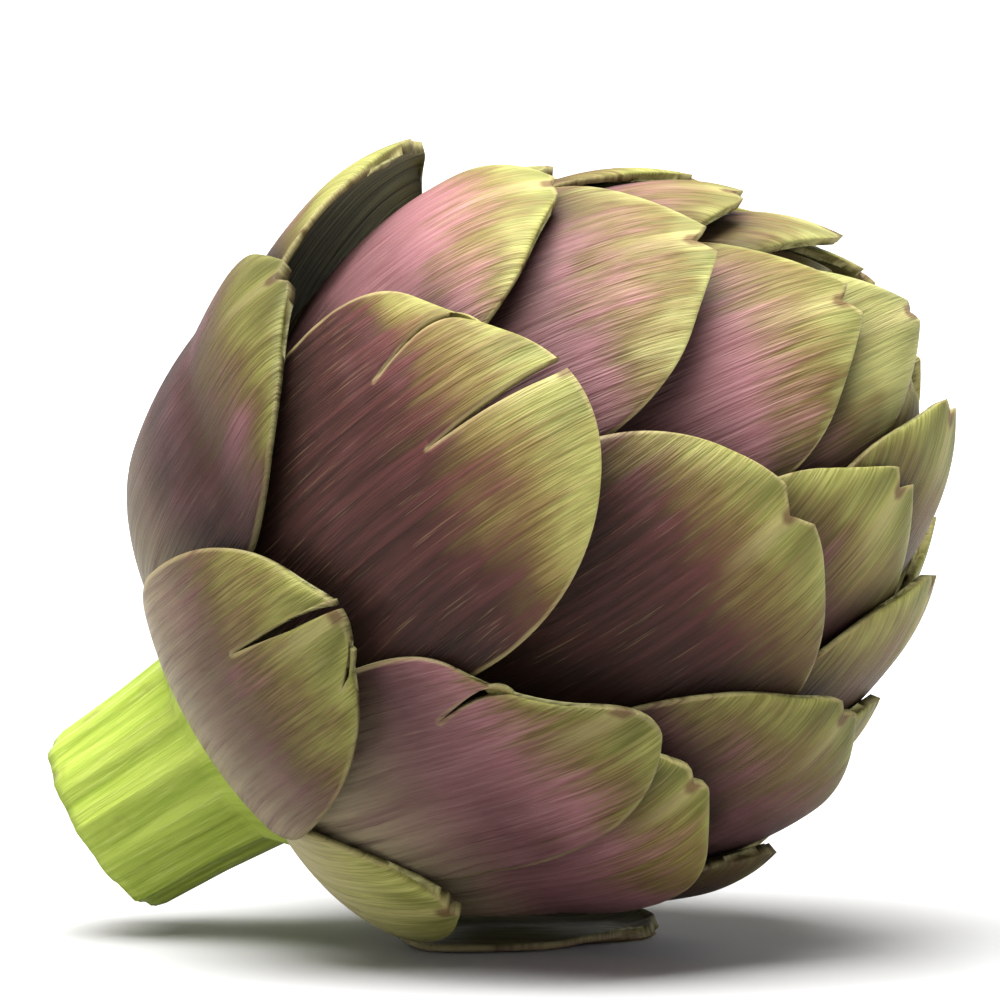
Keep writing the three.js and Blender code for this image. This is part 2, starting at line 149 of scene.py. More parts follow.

# How far each leaf is green from the tip and cream from the root, as angles, how pale its green is, which
# is a painted highlight on the top-lit upper leaves, how pink its purple is and how light it is as a whole,
# which is partly the leaf's own tone and partly painted shade that darkens the lower and side leaves
PLAIN_LOOK = {"green": 9.0, "cream": 30.0, "pale": 0.05, "blush": 0.4, "tone_and_shade": 0.9}
LOOKS = {
    "stalk_side": {"green": 10.0, "cream": 34.0, "pale": 0.0, "blush": 0.5, "tone_and_shade": 0.6},
    "under_stalk": {"green": 26.0, "blush": 0.5, "tone_and_shade": 1.0},
    "belly": {"green": -4.0, "blush": 0.5, "tone_and_shade": 0.5},
    "left_side": {"green": 8.0, "pale": 0.0, "blush": 0.45, "tone_and_shade": 0.45},
    "low_back": {"green": 1.0, "blush": 0.3, "tone_and_shade": 0.4},
    "top_flared": {"green": 12.0, "blush": 0.6, "tone_and_shade": 0.8},
    "low_split": {"green": 4.0, "cream": 44.0, "pale": 0.0, "blush": 0.85, "tone_and_shade": 0.62},
    "low_narrow": {"green": 7.0, "cream": 36.0, "pale": 0.0, "blush": 0.95, "tone_and_shade": 1.0},
    "middle_split": {"green": 7.0, "pale": 0.1, "blush": 0.16, "tone_and_shade": 0.95},
    "upper_left": {"green": 6.0, "pale": 0.15, "blush": 0.95, "tone_and_shade": 1.0},
    "right_low": {"green": 7.0, "pale": 0.0, "blush": 0.6, "tone_and_shade": 0.68},
    "upper_back": {"green": 8.0, "pale": 0.2, "blush": 0.9, "tone_and_shade": 0.95},
    "middle_right": {"green": 5.0, "pale": 0.05, "blush": 0.12, "tone_and_shade": 0.8},
    "upper_middle": {"green": 7.0, "pale": 0.35, "blush": 0.75, "tone_and_shade": 0.97},
    "upper_crest": {"green": 4.0, "pale": 0.2, "blush": 0.95, "tone_and_shade": 0.95},
    "crown_front": {"green": 5.0, "pale": 0.2, "blush": 0.95, "tone_and_shade": 1.0},
    "crown_top": {"green": 8.0, "pale": 0.25, "blush": 0.8, "tone_and_shade": 1.0},
    "crown_inner": {"green": 14.0, "pale": 0.25, "blush": 0.7, "tone_and_shade": 1.0},
}
BUD_LOOK = {"green": 3.0, "blush": 0.9, "tone_and_shade": 0.9, "seed": 91.0, "inside": 0.0, "base": 0.0}
SEED_STEP = 3.7


def tear(mouth, end, reach, gape):
    """A split from the upper edge: places as shares of the half width, reach and gape as angles."""
    return {"mouth": mouth, "end": end, "reach": reach, "gape": gape}


def bract(name, tip, turn, width, flare=0.5, notch=2.0, **more):
    return {"name": name, "tip": tip, "turn": turn, "width": width, "flare": flare, "notch": notch, **more}


BRACTS = [
    bract("stalk_side", 103, 87, 20.5, 1, 0, lie=-1.2,
          tears=[tear(-0.15, -0.2, 18, 2.4), tear(0.7, 0.65, 5, 1.6)]),
    bract("under_stalk", 117.5, 131, 14, 2.5, 1, sway=5),
    bract("far_under_stalk", 116, 318, 20, 1, 1),
    bract("belly", 104, 189, 24, 0, 1.5),
    bract("far_stalk_side", 100, 268, 26, 1, 2),
    bract("left_side", 90.5, 36, 32, 0, 2.5),
    bract("far_belly", 93, 232, 30, 0.5, 2),
    bract("top_flared", 74, 356, 34, 1.4, 1.5, lie=3),
    bract("low_split", 77, 114, 19.5, 1, 0, sway=3, blunt=2.5, peak=0.6, crown=6,
          tears=[tear(-0.85, -0.46, 23.5, 2.4)]),
    bract("far_low_split", 79, 296, 27, 1, 0, tears=[tear(0.1, 0.05, 18, 2)]),
    bract("low_narrow", 77, 139, 27, 1, 1.5, sway=-5),
    bract("low_back", 80, 174, 21, 0, 1.5),
    bract("far_top", 82, 325, 28, 1, 2),
    bract("far_low_back", 74, 207, 28, 0, 2),
    bract("middle_split", 62.5, 75, 28.5, 1, 0, blunt=4.5, peak=0.3, crown=5.5,
          tears=[tear(-0.78, -0.45, 22, 1.2), tear(-0.05, 0, 20, 2)]),
    bract("far_middle", 62, 256, 32, 1, 2.5),
    bract("upper_left", 52.5, 31.5, 31.5, 0.5, 1, lie=10.8),
    bract("right_low", 56, 151, 30, 0.5, 2),
    bract("far_upper", 57, 328, 31, 0.5, 2),
    bract("far_upper_left", 55, 222, 30, 0.5, 2),
    bract("upper_back", 54, 3, 30, 0.5, 1.5),
    bract("right_low_back", 53, 181, 30, 0.5, 2),
    bract("far_middle_right", 43, 290, 30, 1, 3),
    bract("middle_right", 43, 113, 30, 0.5, 2.5, blunt=2.5, crown=2),
    bract("far_upper_middle", 37, 242, 29, 0.5, 2.5),
    bract("upper_middle", 34.5, 52, 29, 0.5, 3),
    bract("far_back", 36, 344, 28, 0.5, 2),
    bract("right_back", 33.5, 176, 28, 0.5, 2),
    bract("far_crest", 28, 209, 27, 0.5, 2),
    bract("upper_crest", 26.5, 17, 28, 0, 2),
    bract("far_crown", 25, 311, 26, 0.5, 2.5),
    bract("right_middle", 25, 138, 26, 0.5, 2.5),
    bract("crown_front", 16.5, 74, 26, 0.5, 2.5),
    bract("far_crown_front", 16, 262, 25, 0.5, 2),
    bract("crown_right", 12.5, 158, 22, 0.5, 2),
    bract("crown_top", 13, 5, 24, 0, 2),
    bract("far_crown_inner", 10, 320, 21, 0, 2),
    bract("crown_inner", 5, 88, 19, 0, 1.5),
]

# What the mesh of a leaf tells its material
LEAF_ATTRIBUTES = (
    "across", "along", "down", "side", "edge", "inside", "base", "tuck_shade",
    "seed", "green", "pale", "blush", "tone_and_shade",
)

# The bud in the middle
BUD_CORE_BELOW = 1.2
BUD_SIDES = 176
BUD_RINGS = 84
BUD_CROWDING = 1.4
BUD_REACH = 128.0
BUD_BOTTOM = -15.5
BUD_LEAF_COUNT = 8
BUD_LEAF_TIP = 11.0
BUD_LEAF_STEP = 1.3
BUD_LEAF_WIDTH = 16.0
BUD_LEAF_MARGIN = 2.0
BUD_LEAF_ROOT = 60.0
BUD_MILLIMETRE = 0.9
GOLDEN_TURN = 137.5

# How much leaf and stalk shine
SKIN_SHEEN = 0.14

# Ridge below the notch, and the stalk's ribs and cut face
RIDGE_WIDTH = 1.6
RIDGE_HEIGHT = 0.35
RIDGE_REACH = 17.0
STALK_END_RADIUS = 11.7
STALK_RIBS = 12
STALK_RIB_HEIGHT = 0.3
FINE_RIBS = ((31, 0.06, 1.0), (47, 0.042, 2.5))
STALK_FADE = 8.0
STALK_SIDES = 192
STALK_STEPS = 8
CUT_RINGS = 12
CUT_HOLLOW = 0.5
CUT_ROUNDING = 0.25


def smooth_step(value, start, end):
    share = np.clip((np.asarray(value, float) - start) / (end - start), 0.0, 1.0)
    return share * share * (3.0 - 2.0 * share)


# Shape of the head in angles


def polar_angle(directions):
    return np.degrees(np.arccos(np.clip(directions @ AXIS, -1.0, 1.0)))


def envelope(directions):
    """Distance from the head's centre to its outside."""
    polar = polar_angle(directions)
    outside = HEAD_RADIUS - HEAD_SHIFT * (directions @ AXIS)
    outside = outside + APEX_RISE * np.exp(-((polar / APEX_SPREAD) ** 2))
    outside = outside - BASE_DROP * smooth_step(polar, *BASE_ANGLES)
    drop = np.minimum(directions[..., 2], -1e-6)
    return np.minimum(outside, (CENTRE_HEIGHT + BELLY_PRESS) / -drop)


def layer_radius(depth, directions):
    rise = LAYER_ROOM * np.maximum(0.0, 1.0 - polar_angle(directions) / LAYER_START) ** LAYER_POWER
    return envelope(directions) + rise - depth


def blade_frame(blade):
    turn = math.radians(blade["turn"])
    outward = TOPWARD * math.cos(turn) + NEARWARD * math.sin(turn)
    across = -TOPWARD * math.sin(turn) + NEARWARD * math.cos(turn)
    return outward, across


def blade_direction(blade, along, aside):
    outward, across = blade_frame(blade)
    along, aside = np.radians(along)[..., None], np.radians(aside)[..., None]
    middle = AXIS * np.cos(along) + outward * np.sin(along)
    return middle * np.cos(aside) + across * np.sin(aside)


def blade_length(blade):
    return blade["root"] - blade["tip"]


def thickness_of(blade):
    return INNER_THICKNESS + (OUTER_THICKNESS - INNER_THICKNESS) * blade["tip"] / OUTERMOST_TIP


def half_width(blade, down):
    widest = min(WIDEST_REACH, WIDEST_SHARE * blade_length(blade))
    from_widest = 1.0 - np.minimum(1.0, (down + blade.get("blunt", TIP_BLUNTNESS)) / widest)
    upper = blade["width"] * np.sqrt(1.0 - from_widest**2)
    return upper * (1.0 - (1.0 - ROOT_SHARE) * smooth_step(down, widest, blade_length(blade)))


def sway_at(blade, down):
    return blade.get("sway", 0.0) * (1.0 - np.minimum(1.0, down / blade_length(blade))) ** 2


def bend_at(blade, down, side):
    flare = blade["flare"] * np.maximum(0.0, 1.0 - down / FLARE_REACH) ** 2 * (1.0 - 0.5 * side**2)
    return flare - CURL * np.maximum(0.0, 1.0 - down / CURL_REACH) ** 2


def thinning_at(blade, side):
    return (thickness_of(blade) - EDGE_THICKNESS) * np.minimum(1.0, np.abs(side)) ** 2


def tip_fall(blade, side):
    crown = blade.get("crown", TIP_CROWN) * (side - blade.get("peak", 0.0)) ** 2
    return crown + blade["notch"] * np.maximum(0.0, 1.0 - np.abs(side) / NOTCH_WIDTH)


# Laying the blades under one another


def place_on_blade(blade, directions):
    """Where directions fall on a blade, and which of them hit it."""
    outward, across = blade_frame(blade)
    aside = np.degrees(np.arcsin(np.clip(directions @ across, -1.0, 1.0)))
    along = np.degrees(np.arctan2(directions @ outward, directions @ AXIS))
    down = along - blade["tip"]
    inside = np.maximum(down, 0.0)
    side = (aside - sway_at(blade, inside)) / half_width(blade, inside)
    hit = (down >= 0.0) & (along <= blade["root"]) & (np.abs(side) <= 1.0)
    return down, side, hit


def distance_to_heart(place, radius):
    places, radii = np.array(HEART_PROFILE).T
    inside = radius < np.interp(place, places, radii, left=0.0, right=0.0)
    if inside:
        return 0.0
    point = np.array([place, radius])
    nearest = math.inf
    for start, end in zip(HEART_PROFILE, HEART_PROFILE[1:]):
        start, span = np.array(start), np.array(end) - np.array(start)
        share = np.clip((point - start) @ span / (span @ span), 0.0, 1.0)
        nearest = min(nearest, float(np.linalg.norm(point - start - span * share)))
    return nearest


def root_angle(blade):
    along = ROOT_LIMIT - ROOT_DRAW * blade["depth"]
    while along > ROOT_START:
        asides = np.array([-1.0, 0.0, 1.0]) * ROOT_SHARE * blade["width"]
        directions = blade_direction(blade, np.full(3, along), asides)
        inner = directions * (layer_radius(blade["depth"], directions) - thickness_of(blade))[:, None]
        places = inner @ AXIS
        radii = np.sqrt((inner**2).sum(axis=1) - places**2)
        if all(distance_to_heart(p, r) > ROOT_GAP for p, r in zip(places, radii)):
            return along
        along -= 0.5
    return ROOT_START


def lay_down(blade, outer):
    """Sinks a blade as far as it must go to lie under the blades outside it, with a gap."""
    blade["root"], blade["depth"] = FIRST_ROOT, blade.get("lie", 0.0)
    down = np.repeat(blade_length(blade) * np.arange(PROBE_ROWS + 1) / PROBE_ROWS, 2 * PROBE_COLUMNS + 1)
    side = np.tile(np.arange(-PROBE_COLUMNS, PROBE_COLUMNS + 1) / PROBE_COLUMNS, PROBE_ROWS + 1)
    aside = sway_at(blade, down) + side * half_width(blade, down)
    directions = blade_direction(blade, blade["tip"] + down, aside)
    rise = bend_at(blade, down, side) - thinning_at(blade, side)
    for cover in outer:
        cover_down, cover_side, hit = place_on_blade(cover, directions)
        if hit.any():
            room = cover["depth"] + thickness_of(cover) + LAYER_GAP - bend_at(cover, cover_down, cover_side)
            blade["depth"] = max(blade["depth"], float((room + rise)[hit].max()))
    blade["root"] = root_angle(blade)


# Meshes


def row_places(blade):
    rows = [blade_length(blade) * (row / FINE_ROWS) ** ROW_CROWDING for row in range(FINE_ROWS + 1)]
    for cut in blade.get("tears", ()):
        nearest = min(range(1, FINE_ROWS), key=lambda i: abs(rows[i] - cut["reach"]))
        rows[nearest] = cut["reach"]
    return np.array(rows)


def blade_lines(blade, rows):
    """The lines that run down a blade, as side by row, and for a tear also its gape by row."""
    tears = blade.get("tears", ())
    anchors = [(np.full(len(rows), -1.0), None)]
    for cut in tears:
        share = np.minimum(1.0, rows / cut["reach"])
        side = cut["mouth"] + (cut["end"] - cut["mouth"]) * share
        anchors.append((side, cut["gape"] / 2.0 * (1.0 - share)))
    anchors.append((np.full(len(rows), 1.0), None))
    lines = []
    for (left, gape), (right, _) in zip(anchors, anchors[1:]):
        steps = max(4, round(FINE_COLUMNS * float((right - left).mean()) / 2.0))
        for step in range(steps):
            lines.append((left + (right - left) * step / steps, gape if step == 0 else None))
    lines.append(anchors[-1])
    return lines


def blade_grid(blade):
    """Vertex numbers by row and line, from the left and from the right, and the places they stand for."""
    rows = row_places(blade)
    lines = blade_lines(blade, rows)
    left = np.zeros((len(rows), len(lines)), int)
    right = np.zeros_like(left)
    places = []
    for row, down in enumerate(rows):
        for line, (side, gape) in enumerate(lines):
            opening = 0.0 if gape is None else gape[row]
            left[row, line] = len(places)
            places.append((down, side[row], -opening))
            if opening > 0.0:
                places.append((down, side[row], opening))
            right[row, line] = len(places) - 1
    return left, right, np.array(places)


def blade_points(blade, down, side, gape):
    fall = tip_fall(blade, side) * np.maximum(0.0, 1.0 - down / WIDEST_REACH) ** 2
    aside = sway_at(blade, down) + side * half_width(blade, down) + gape
    directions = blade_direction(blade, blade["tip"] + down + fall, aside)
    layer = layer_radius(blade["depth"], directions) + bend_at(blade, down, side)
    crest = layer - thinning_at(blade, side) + leaf_ridge(blade, down, side)
    outer = CENTRE + directions * crest[:, None]
    inner = CENTRE + directions * (layer - thickness_of(blade))[:, None]
    outer[:, 2] = np.maximum(outer[:, 2], 0.0)
    return outer, inner


def closed_shell(outer, inner, quads):
    """Outer and inner points with the same faces, joined by walls along every free edge."""
    count = len(outer)
    quads = np.array(quads)
    starts = quads.ravel()
    ends = np.roll(quads, -1, axis=1).ravel()
    edges = set(zip(starts.tolist(), ends.tolist()))
    free = [(a, b) for a, b in edges if (b, a) not in edges]
    faces = quads.tolist() + (quads[:, ::-1] + count).tolist()
    faces += [(b, a, count + a, count + b) for a, b in sorted(free)]
    return np.vstack([outer, inner]), faces


def make_mesh(name, points, faces):
    mesh = bpy.data.meshes.new(name)
    mesh.from_pydata((points / 1000.0).tolist(), [], faces)
    mesh.validate()
    mesh.polygons.foreach_set("use_smooth", [True] * len(mesh.polygons))
    piece = bpy.data.objects.new(name, mesh)
    bpy.context.scene.collection.objects.link(piece)
    return piece


def store(mesh, name, values):
    mesh.attributes.new(name, "FLOAT", "POINT").data.foreach_set("value", np.asarray(values, np.float32))


def blade_piece(blade, outer_blades):
    left, right, places = blade_grid(blade)
    down, side, gape = places.T
    outer, inner = blade_points(blade, down, side, gape)
    quads = [
        (right[r, c], right[r + 1, c], left[r + 1, c + 1], left[r, c + 1])
        for r in range(left.shape[0] - 1)
        for c in range(left.shape[1] - 1)
    ]
    points, faces = closed_shell(outer, inner, quads)
    piece = make_mesh("leaf_" + blade["name"], points, faces)
    values = {"down": down, "side": side, **leaf_attributes(blade, down, side)}
    look = {**PLAIN_LOOK, **LOOKS.get(blade["name"], {}), "seed": SEED_STEP * BRACTS.index(blade)}
    cream = look.pop("cream")
    values["tuck_shade"] = tucked_under(blade, outer_blades, down, side)
    values["base"] = smooth_step(down, blade_length(blade) - cream, blade_length(blade) - cream / 4.0)
    for name, value in values.items():
        store(piece.data, name, np.tile(value, 2))
    store(piece.data, "inside", np.repeat([0.0, 1.0], len(down)))
    for name, value in look.items():
        store(piece.data, name, np.full(2 * len(down), value))
    return piece


def leaf_attributes(blade, down, side):
    """Places on a leaf in millimetres, and how far each is from the nearest free edge."""
    reach = layer_radius(blade["depth"], blade_direction(blade, blade["tip"] + down, np.zeros_like(down)))
    millimetre = np.radians(reach)
    wide = half_width(blade, down) * millimetre
    edge = np.minimum((1.0 - np.abs(side)) * wide, down * millimetre)
    for cut in blade.get("tears", ()):
        line = cut["mouth"] + (cut["end"] - cut["mouth"]) * np.minimum(1.0, down / cut["reach"])
        below = np.maximum(0.0, down - cut["reach"]) * millimetre
        edge = np.minimum(edge, np.hypot((side - line) * wide, below))
    return {"across": side * wide, "along": down * millimetre, "edge": edge}


def tucked_under(blade, outer, down, side):
    """1 where a leaf goes in under another one, and falling with the angle from that one's edge; it sets
    the painted shade there.
    """
    aside = sway_at(blade, down) + side * half_width(blade, down)
    directions = blade_direction(blade, blade["tip"] + down, aside)
    nearness = np.zeros_like(down)
    for cover in outer:
        cover_down, cover_side, _ = place_on_blade(cover, directions)
        beyond_tip = np.maximum(0.0, tip_fall(cover, np.clip(cover_side, -1.0, 1.0)) - cover_down)
        beside = np.maximum(0.0, np.abs(cover_side) - 1.0) * half_width(cover, np.maximum(cover_down, 0.0))
        nearness = np.maximum(nearness, np.exp(-np.hypot(beyond_tip, beside) / TUCK_SHADE_REACH))
    return nearness


def leaf_ridge(blade, down, side):
    """The raised ridge that runs down from the notch at the tip."""
    spread = np.exp(-((side * half_width(blade, down) / RIDGE_WIDTH) ** 2))
    return RIDGE_HEIGHT * blade["notch"] / 2.0 * spread * np.maximum(0.0, 1.0 - down / RIDGE_REACH)


# Bud and stalk


def bud_leaves(outer):
    leaves = []
    for number in range(BUD_LEAF_COUNT):
        tip = BUD_LEAF_TIP - BUD_LEAF_STEP * number
        leaf = {"tip": tip, "turn": number * GOLDEN_TURN % 360.0, "flare": 0.0, "notch": 0.0}
        roomy = {**leaf, "tip": tip - BUD_LEAF_MARGIN, "width": BUD_LEAF_WIDTH + BUD_LEAF_MARGIN}
        lay_down(roomy, outer + leaves)
        leaves.append({**leaf, "width": BUD_LEAF_WIDTH, "root": BUD_LEAF_ROOT, "depth": roomy["depth"]})
    return leaves


def bud_surface(directions, leaves, core_depth):
    """Distance from the centre, and the place on the small bract that stands highest there."""
    height = np.zeros(len(directions))
    places = {"down": np.full(len(directions), BUD_LEAF_ROOT), "side": np.zeros(len(directions))}
    for leaf in leaves:
        down, side, hit = place_on_blade(leaf, directions)
        stands = core_depth - leaf["depth"] + bend_at(leaf, down, side) - thinning_at(leaf, side)
        stands = stands * (1.0 - smooth_step(down, blade_length(leaf) / 2.0, blade_length(leaf)))
        higher = hit & (stands > height)
        height = np.where(higher, stands, height)
        places["down"] = np.where(higher, down, places["down"])
        places["side"] = np.where(higher, side, places["side"])
    return layer_radius(core_depth, directions) + height, places


def bud_piece(outer):
    leaves = bud_leaves(outer)
    core_depth = max(leaf["depth"] for leaf in leaves) + BUD_CORE_BELOW
    alongs = BUD_REACH * (np.arange(1, BUD_RINGS + 1) / BUD_RINGS) ** BUD_CROWDING
    turns = np.arange(BUD_SIDES) / BUD_SIDES * 360.0
    along, turn = np.repeat(alongs, BUD_SIDES), np.radians(np.tile(turns, BUD_RINGS))
    outward = np.cos(turn)[:, None] * TOPWARD + np.sin(turn)[:, None] * NEARWARD
    directions = AXIS * np.cos(np.radians(along))[:, None] + outward * np.sin(np.radians(along))[:, None]
    directions = np.vstack([AXIS, directions])
    radius, places = bud_surface(directions, leaves, core_depth)
    points = np.vstack([CENTRE + directions * radius[:, None], CENTRE + AXIS * BUD_BOTTOM])
    faces = []
    for side in range(BUD_SIDES):
        following = (side + 1) % BUD_SIDES
        faces.append((0, 1 + side, 1 + following))
        for ring in range(BUD_RINGS - 1):
            upper = 1 + ring * BUD_SIDES
            lower = upper + BUD_SIDES
            faces.append((upper + side, lower + side, lower + following, upper + following))
        last = 1 + (BUD_RINGS - 1) * BUD_SIDES
        faces.append((last + side, len(points) - 1, last + following))
    piece = make_mesh("closed_bud", points, faces)
    down, side = np.append(places["down"], BUD_LEAF_ROOT), np.append(places["side"], 0.0)
    wide = BUD_LEAF_WIDTH * BUD_MILLIMETRE
    for name, values in {
        "down": down, "side": side, "across": side * wide, "along": down * BUD_MILLIMETRE,
        "edge": np.minimum((1.0 - np.abs(side)) * wide, down * BUD_MILLIMETRE),
    }.items():
        store(piece.data, name, values)
    for name, value in BUD_LOOK.items():
        store(piece.data, name, np.full(len(points), value))
    return piece


def stalk_rings():
    """Places along the axis, radii, and how far the rings belong to the cut face."""
    corners = np.array(HEART_PROFILE)[1:-1]
    steps = np.arange(0.0, 1.0, 1.0 / STALK_STEPS)
    sides = [start + (end - start) * step for start, end in zip(corners, corners[1:]) for step in steps]
    sides = np.vstack(sides + [corners[-1:]])
    end_place, end_radius = corners[0]
    shares = np.arange(1, CUT_RINGS) / CUT_RINGS
    cut = np.column_stack([end_place + CUT_HOLLOW * (1.0 - shares**6), end_radius * shares])
    sides[0, 1] -= CUT_ROUNDING
    return np.vstack([cut, sides]), np.append(shares, np.zeros(len(sides)))


def stalk_piece():
    rings, shares = stalk_rings()
    turns = np.arange(STALK_SIDES) / STALK_SIDES * 2.0 * math.pi
    points = []
    for place, radius in rings:
        fade = 1.0 - smooth_step(place, STALK_NECK, STALK_NECK + STALK_FADE)
        fade = fade * (radius / STALK_END_RADIUS) ** 2
        ribs = STALK_RIB_HEIGHT * np.cos(turns * STALK_RIBS)
        for count, height, phase in FINE_RIBS:
            ribs = ribs + height * (np.cos(turns * count + phase) - 1.0)
        around = np.cos(turns)[:, None] * TOPWARD + np.sin(turns)[:, None] * NEARWARD
        points.append(CENTRE + AXIS * place + around * (radius + fade * ribs)[:, None])
    first, last = len(rings) * STALK_SIDES, len(rings) * STALK_SIDES + 1
    points = np.vstack(points + [CENTRE + AXIS * rings[0, 0], CENTRE + AXIS * rings[-1, 0]])
    faces = []
    for side in range(STALK_SIDES):
        following = (side + 1) % STALK_SIDES
        top = (len(rings) - 1) * STALK_SIDES
        faces.append((first, following, side))
        faces.append((last, top + side, top + following))
        for ring in range(len(rings) - 1):
            lower = ring * STALK_SIDES
            upper = lower + STALK_SIDES
            faces.append((lower + side, lower + following, upper + following, upper + side))
    piece = make_mesh("cut_stalk", points, faces)
    store(piece.data, "around", np.append(np.tile(turns * STALK_END_RADIUS, len(rings)), [0.0, 0.0]))
    alongs = rings[:, 0] - STALK_END
    store(piece.data, "along", np.append(np.repeat(alongs, STALK_SIDES), [0.0, alongs[-1]]))
    store(piece.data, "from_middle", np.append(np.repeat(rings[:, 1], STALK_SIDES), [0.0, 0.0]))
    store(piece.data, "cut", np.append(np.repeat((shares > 0.0).astype(float), STALK_SIDES), [1.0, 0.0]))
    return piece


# Materials


def new_material(name):
    material = bpy.data.materials.new(name)
    material.use_nodes = True
    return material, material.node_tree, material.node_tree.nodes["Principled BSDF"]


def feed(tree, socket, value):
    if isinstance(value, bpy.types.NodeSocket):
        tree.links.new(value, socket)
    else:
        socket.default_value = value


def attribute(tree, name):
    node = tree.nodes.new("ShaderNodeAttribute")
    node.attribute_name = name
    return node.outputs["Fac"]


def compute(tree, operation, first, second=0.0, third=0.0):
    node = tree.nodes.new("ShaderNodeMath")
    node.operation = operation
    for socket, value in zip(node.inputs, (first, second, third)):
        feed(tree, socket, value)
    return node.outputs[0]


def between(tree, value, start, end):
    """0 up to start, 1 from end on, and smooth in between."""
    node = tree.nodes.new("ShaderNodeMapRange")
    node.interpolation_type = "SMOOTHSTEP"
    for name, number in (("Value", value), ("From Min", start), ("From Max", end)):
        feed(tree, node.inputs[name], number)
    return node.outputs["Result"]


def mix(tree, share, first, second):
    node = tree.nodes.new("ShaderNodeMix")
    node.data_type = "RGBA"
    for socket, value in ((node.inputs[0], share), (node.inputs[6], first), (node.inputs[7], second)):
        feed(tree, socket, value)
    return node.outputs[2]


def vector_of(tree, x, y, z):
    node = tree.nodes.new("ShaderNodeCombineXYZ")
    for socket, value in zip(node.inputs, (x, y, z)):
        feed(tree, socket, value)
    return node.outputs[0]


def noise(tree, vector, scale, detail=4.0, roughness=0.6):
    node = tree.nodes.new("ShaderNodeTexNoise")
    for name, value in (("Vector", vector), ("Scale", scale), ("Detail", detail), ("Roughness", roughness)):
        feed(tree, node.inputs[name], value)
    return node.outputs[0]


def bumped(tree, shader, height, strength, distance):
    node = tree.nodes.new("ShaderNodeBump")
    for name, value in (("Height", height), ("Strength", strength), ("Distance", distance)):
        feed(tree, node.inputs[name], value)
    tree.links.new(node.outputs["Normal"], shader.inputs["Normal"])


def times(tree, first, second):
    return compute(tree, "MULTIPLY", first, second)


def swing(tree, value, width):
    """Noise round one half, turned into a swing round zero."""
    return times(tree, compute(tree, "SUBTRACT", value, 0.5), width)


def fibres(tree, across, along, seed, fineness, stretch):
    """Streaks that run along a leaf or a stalk: noise that is drawn out lengthwise."""
    vector = vector_of(tree, times(tree, across, fineness), times(tree, along, stretch), seed)
    return noise(tree, vector, 1.0, 3.0, 0.65)


def leaf_inputs(tree):
    """What the mesh says about each place on a leaf, and the streaks and patches of its skin."""
    leaf = {name: attribute(tree, name) for name in LEAF_ATTRIBUTES}
    across, along, seed = leaf["across"], leaf["along"], leaf["seed"]
    leaf["coarse"] = fibres(tree, across, along, seed, 0.9, 0.045)
    leaf["fine"] = fibres(tree, across, along, compute(tree, "ADD", seed, 31.0), 4.2, 0.12)
    leaf["patches"] = noise(tree, vector_of(tree, across, along, times(tree, seed, 5.0)), 0.11, 2.0, 0.5)
    leaf["off_middle"] = compute(tree, "ABSOLUTE", across)
    return leaf


def purple_skin(tree, leaf):
    """Wine purple, paler and pinker where the leaf has a blush."""
    blush = compute(tree, "ADD", leaf["blush"], swing(tree, leaf["patches"], 1.0))
    wine = mix(tree, between(tree, leaf["coarse"], 0.3, 0.7), WINE_DARK, WINE)
    pink = mix(tree, between(tree, leaf["fine"], 0.2, 0.8), MAUVE, PINK)
    return mix(tree, between(tree, blush, 0.2, 1.0), wine, pink)


def green_skin(tree, leaf):
    """Green of the tip, darkest beside the notch, and paler on the top-lit upper leaves as a painted
    highlight.
    """
    green = mix(tree, between(tree, leaf["fine"], 0.22, 0.75), GREEN, GREEN_LIGHT)
    # Painted highlight: the leaf's pale share lightens its green
    green = mix(tree, leaf["pale"], green, PAINTED_HIGHLIGHT_GREEN)
    beside = compute(tree, "SUBTRACT", compute(tree, "ABSOLUTE", leaf["side"]), NOTCH_WIDTH)
    beside = compute(tree, "ABSOLUTE", beside)
    dark = times(tree, between(tree, beside, 0.3, 0.0), between(tree, leaf["down"], 11.0, 3.0))
    return mix(tree, times(tree, dark, 0.55), green, GREEN_DARK)


def leaf_colour(tree, leaf):
    """Purple below, olive where it turns, green at the tip, with a pale ridge below the notch."""
    drift = compute(tree, "ADD", swing(tree, leaf["coarse"], 18.0), swing(tree, leaf["patches"], 20.0))
    drift = compute(tree, "ADD", drift, swing(tree, leaf["fine"], 9.0))
    from_green = compute(tree, "SUBTRACT", compute(tree, "ADD", leaf["down"], drift), leaf["green"])
    olive = mix(tree, between(tree, leaf["fine"], 0.35, 0.65), OLIVE_BROWN, OLIVE_PALE)
    body = mix(tree, between(tree, from_green, 2.0, 16.0), olive, purple_skin(tree, leaf))
    body = mix(tree, between(tree, from_green, 5.0, -7.0), body, green_skin(tree, leaf))
    ridge = times(tree, between(tree, leaf["off_middle"], 1.9, 0.2), between(tree, leaf["down"], 15.0, 5.0))
    return mix(tree, times(tree, ridge, 0.45), body, STRAW)


def painted_shade_and_root_colour(tree, leaf, body):
    """Painted shade low on the leaf and where it goes in under its neighbours, cream where it grows from
    the head, with flecks.
    """
    # Painted shade: darker further down the leaf, towards where it goes in under others
    body = mix(tree, times(tree, between(tree, leaf["down"], 9.0, 28.0), 0.46), body, SHADE)
    # Painted shade where the leaf goes in under the edge of another one
    body = mix(tree, times(tree, leaf["tuck_shade"], 0.72), body, SHADE)
    cream = times(tree, leaf["base"], between(tree, leaf["coarse"], 0.95, 0.3))
    body = mix(tree, times(tree, cream, 0.9), body, CREAM)
    return mix(tree, times(tree, between(tree, leaf["fine"], 0.58, 0.75), 0.3), body, FLECK)


